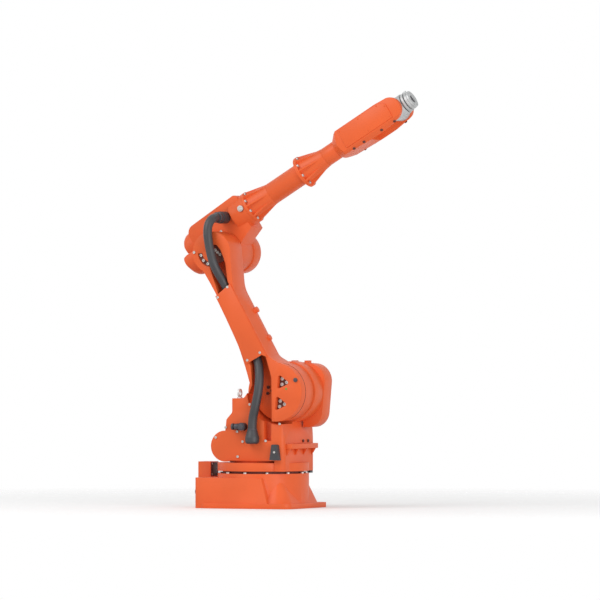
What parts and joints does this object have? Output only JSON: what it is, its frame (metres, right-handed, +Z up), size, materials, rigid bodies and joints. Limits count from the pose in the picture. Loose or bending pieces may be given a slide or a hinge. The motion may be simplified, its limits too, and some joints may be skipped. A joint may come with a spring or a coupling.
{
  "type": "industrial robot arm",
  "caption": "Floor-mounted six-axis industrial robot arm with a long slim forearm, side hoses, a forked wrist and a round tool flange.",
  "frame": {"origin": "on the floor under the base, on the upright axis that the turret turns about", "axes": "+X forward, the way the arm reaches in the rest pose; +Z up; +Y away from the side with the hoses"},
  "size_m": [1.4587, 0.5575, 2.3428],
  "materials": {
    "orange_paint": "semi gloss orange paint on castings",
    "dark_rubber": "matte dark grey rubber",
    "bare_steel": "machined steel",
    "dark_steel": "oiled dark steel",
    "wrist_metal": "grey cast and machined metal",
    "black_plastic": "black moulded plastic"
  },
  "bodies": {
    "base": {"base_casting": "orange_paint", "connector_box": "orange_paint", "slew_ring": "dark_steel"},
    "turret": {"turret_casting": "orange_paint", "front_shelf": "orange_paint", "shoulder_housing": "orange_paint", "shoulder_end_cover": "orange_paint", "shoulder_reducer": "dark_steel", "lifting_eye": "bare_steel", "lower_hose_boot": "dark_rubber", "buffer_block": "dark_rubber", "motor_connector": "black_plastic", "swing_stop": "dark_rubber", "lower_hose": "dark_rubber"},
    "lower_arm": {"lower_arm_casting": "orange_paint", "lower_arm_cover": "orange_paint", "upper_hose": "dark_rubber"},
    "elbow": {"elbow_casting": "orange_paint", "oil_plug": "bare_steel", "elbow_reducer": "dark_steel", "elbow_motor_housing": "orange_paint", "elbow_motor_cap": "orange_paint", "upper_rear_motor": "orange_paint", "lower_rear_motor": "orange_paint", "upper_hose_fitting": "dark_rubber"},
    "forearm": {"forearm_cone": "orange_paint", "forearm_tube": "orange_paint", "extension_cone": "orange_paint", "extension_tube": "orange_paint", "wrist_fork": "orange_paint", "wrist_near_cover": "orange_paint", "wrist_far_cover": "orange_paint"},
    "wrist": {"wrist_unit": "wrist_metal"},
    "tool": {"tool_flange": "bare_steel"}
  },
  "joints": [
    {"name": "turret_turn", "type": "hinge", "parent": "base", "child": "turret", "pos_m": [0, 0, 0.209], "axis": [0, 0, 1], "range_deg": [-170, 170]},
    {"name": "shoulder_swing", "type": "hinge", "parent": "turret", "child": "lower_arm", "pos_m": [0.178, 0, 0.655], "axis": [0, 1, 0], "range_deg": [-20, 100], "deforming": ["lower_hose"]},
    {"name": "elbow_swing", "type": "hinge", "parent": "lower_arm", "child": "elbow", "pos_m": [-0.21795, 0, 1.44089], "axis": [0, -1, 0], "range_deg": [-70, 120], "deforming": ["upper_hose"]},
    {"name": "forearm_roll", "type": "hinge", "parent": "elbow", "child": "forearm", "pos_m": [-0.07707, 0, 1.6928], "axis": [0.8554, 0, 0.518], "range_deg": [-200, 200]},
    {"name": "wrist_bend", "type": "hinge", "parent": "forearm", "child": "wrist", "pos_m": [0.82192, 0, 2.23725], "axis": [0, -1, 0], "range_deg": [-120, 120]},
    {"name": "flange_roll", "type": "hinge", "parent": "wrist", "child": "tool", "pos_m": [0.91344, 0, 2.29268], "axis": [0.8554, 0, 0.518], "range_deg": [-400, 400]}
  ]
}
